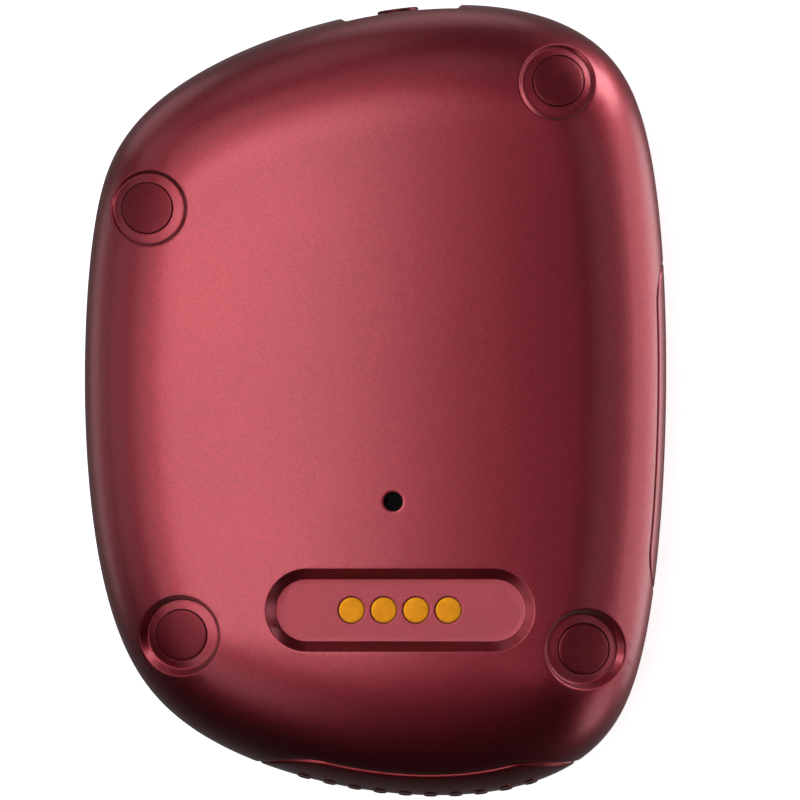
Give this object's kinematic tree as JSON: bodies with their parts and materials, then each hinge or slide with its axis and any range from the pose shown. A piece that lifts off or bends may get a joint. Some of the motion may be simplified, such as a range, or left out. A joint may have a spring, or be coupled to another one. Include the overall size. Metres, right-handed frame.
{
  "type": "bluetooth tracker",
  "caption": "Palm-size pebble-shaped wireless tracker, seen from its back, with a magnetic charging dock, screw plugs, a power button, a rocker key and a dotted grip key.",
  "frame": {"origin": "middle of the bounding box, on the flat front face that the tracker lies on", "axes": "+Z out of the back face, +Y to the top edge with the power button, +X to the side with the rocker key"},
  "size_m": [0.046, 0.0627, 0.0172],
  "materials": {
    "shell_paint": "satin metallic burgundy paint over a radio-transparent plastic, fine orange-peel grain",
    "key_paint": "satin burgundy paint",
    "grip_rubber": "matte burgundy rubber skin",
    "plug_rubber": "smooth dark burgundy rubber",
    "seal_rubber": "matte black",
    "steel": "satin",
    "gold": "gold plated, satin",
    "magnet_nickel": "nickel plated",
    "black_plastic": "moulded, fine grain",
    "flex_polyimide": "amber film",
    "switch_plastic": "moulded",
    "board_laminate": "solder mask",
    "ceramic": "fired ceramic with a silvered face",
    "foil": "embossed pouch foil",
    "mic_metal": "plated can",
    "mesh_cloth": "fine acoustic mesh",
    "clear_plastic": "milky, translucent"
  },
  "bodies": {
    "housing": {"rear_cover": "shell_paint", "front_cover": "shell_paint", "cover_seal": "seal_rubber", "screw_plug_upper_right": "plug_rubber", "screw_plug_upper_left": "plug_rubber", "screw_plug_lower_left": "plug_rubber", "screw_plug_lower_right": "plug_rubber", "cover_screws": "steel", "charge_contact_1": "gold", "charge_contact_2": "gold", "charge_contact_3": "gold", "charge_contact_4": "gold", "contact_carrier": "black_plastic", "dock_magnets": "magnet_nickel", "dock_flex": "flex_polyimide", "top_switch": "switch_plastic", "rocker_pin": "steel", "side_switches": "switch_plastic", "grip_switches": "switch_plastic", "main_board": "board_laminate", "board_screws": "steel", "board_connectors": "switch_plastic", "shield_can": "steel", "board_chips": "black_plastic", "radio_antenna": "switch_plastic", "gnss_antenna": "ceramic", "battery_cell": "foil", "battery_pad": "seal_rubber", "battery_tab": "flex_polyimide", "microphone": "mic_metal", "mic_boot": "seal_rubber", "mic_mesh": "mesh_cloth", "speaker": "black_plastic", "speaker_gasket": "seal_rubber", "speaker_mesh": "mesh_cloth", "speaker_contacts": "gold", "vibration_motor": "steel", "status_led": "clear_plastic", "light_pipe": "clear_plastic"},
    "top_button": {"top_button": "key_paint"},
    "side_rocker": {"side_rocker": "key_paint"},
    "grip_key": {"grip_key": "grip_rubber"}
  },
  "joints": [
    {"name": "top_button_press", "type": "slide", "parent": "housing", "child": "top_button", "axis": [0.1253, -0.9921, 0], "range_m": [0, 0.00025], "stiffness_N_per_m": 600, "springref_m": -0.0004},
    {"name": "side_rocker_tilt", "type": "hinge", "parent": "housing", "child": "side_rocker", "pos_m": [0.02, -0.00205, 0.0084], "axis": [0, 0, 1], "range_deg": [-1.5, 1.5], "stiffness_Nm_per_rad": 0.3},
    {"name": "grip_key_press", "type": "slide", "parent": "housing", "child": "grip_key", "axis": [0, 1, 0], "range_m": [0, 0.00055], "stiffness_N_per_m": 1500, "springref_m": -0.0004}
  ]
}
